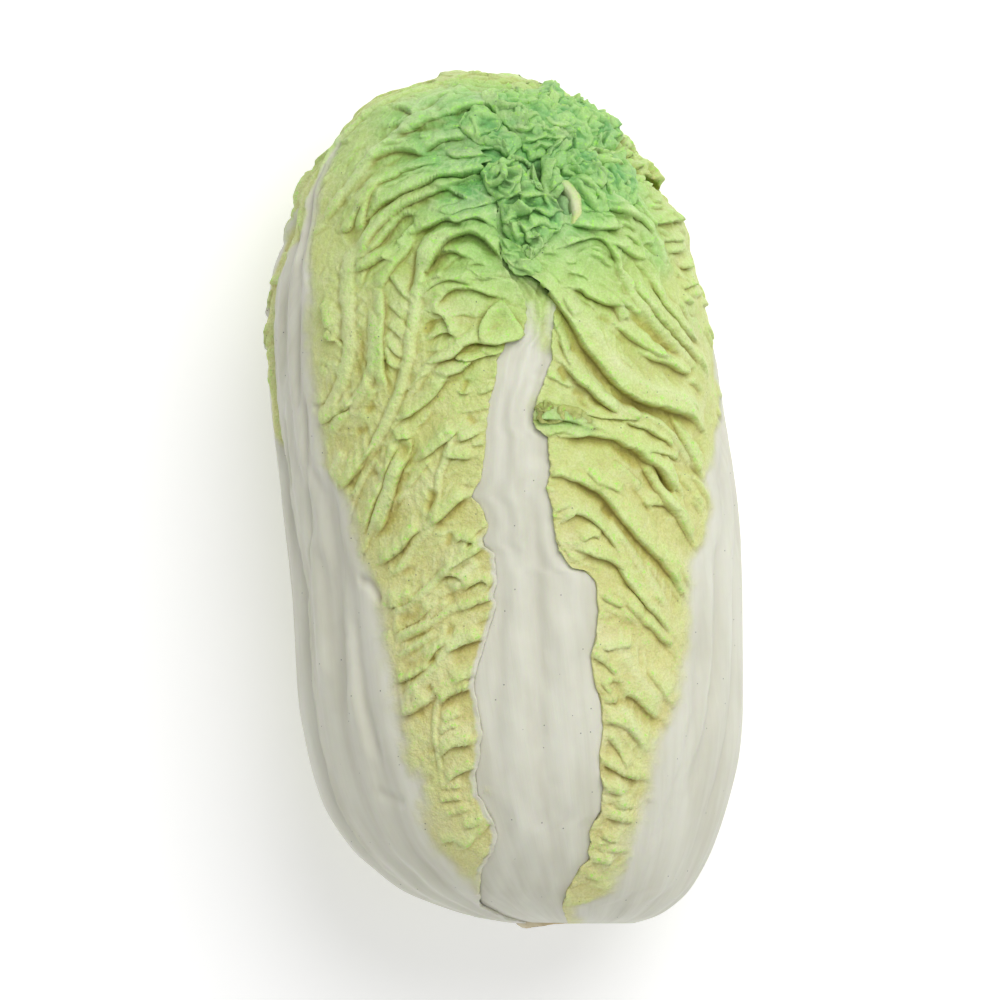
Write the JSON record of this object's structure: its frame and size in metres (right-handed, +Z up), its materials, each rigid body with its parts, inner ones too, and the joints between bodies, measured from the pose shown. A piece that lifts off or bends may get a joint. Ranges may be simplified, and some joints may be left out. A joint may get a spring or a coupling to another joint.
{
  "type": "napa cabbage",
  "caption": "Whole napa cabbage lying on its back: wrapped leaves with broad white ribs and puckered green blades round a dense heart with a frilled crown.",
  "frame": {"origin": "middle of the cabbage's bounding box, on the surface it lies on", "axes": "+Y along the head from the cut butt to the frilled crown, +Z up, +X to the right when seen from above with the crown away from the viewer"},
  "size_m": [0.166, 0.299, 0.1448],
  "materials": {
    "outer_leaf": "puckered leaf blade, white at the rib and green towards the crown, softly waxy",
    "white_rib": "smooth fluted white rib, softly waxy",
    "crown": "ruffled green leaf tips",
    "cut_butt": "dull dry cut, slightly browned"
  },
  "bodies": {
    "root": {"heart": "crown", "stem": "cut_butt", "leaf_centre": "white_rib", "leaf_back_left": "outer_leaf", "leaf_back_right": "outer_leaf", "leaf_back": "outer_leaf", "leaf_left": "outer_leaf", "leaf_right": "outer_leaf"}
  },
  "joints": []
}
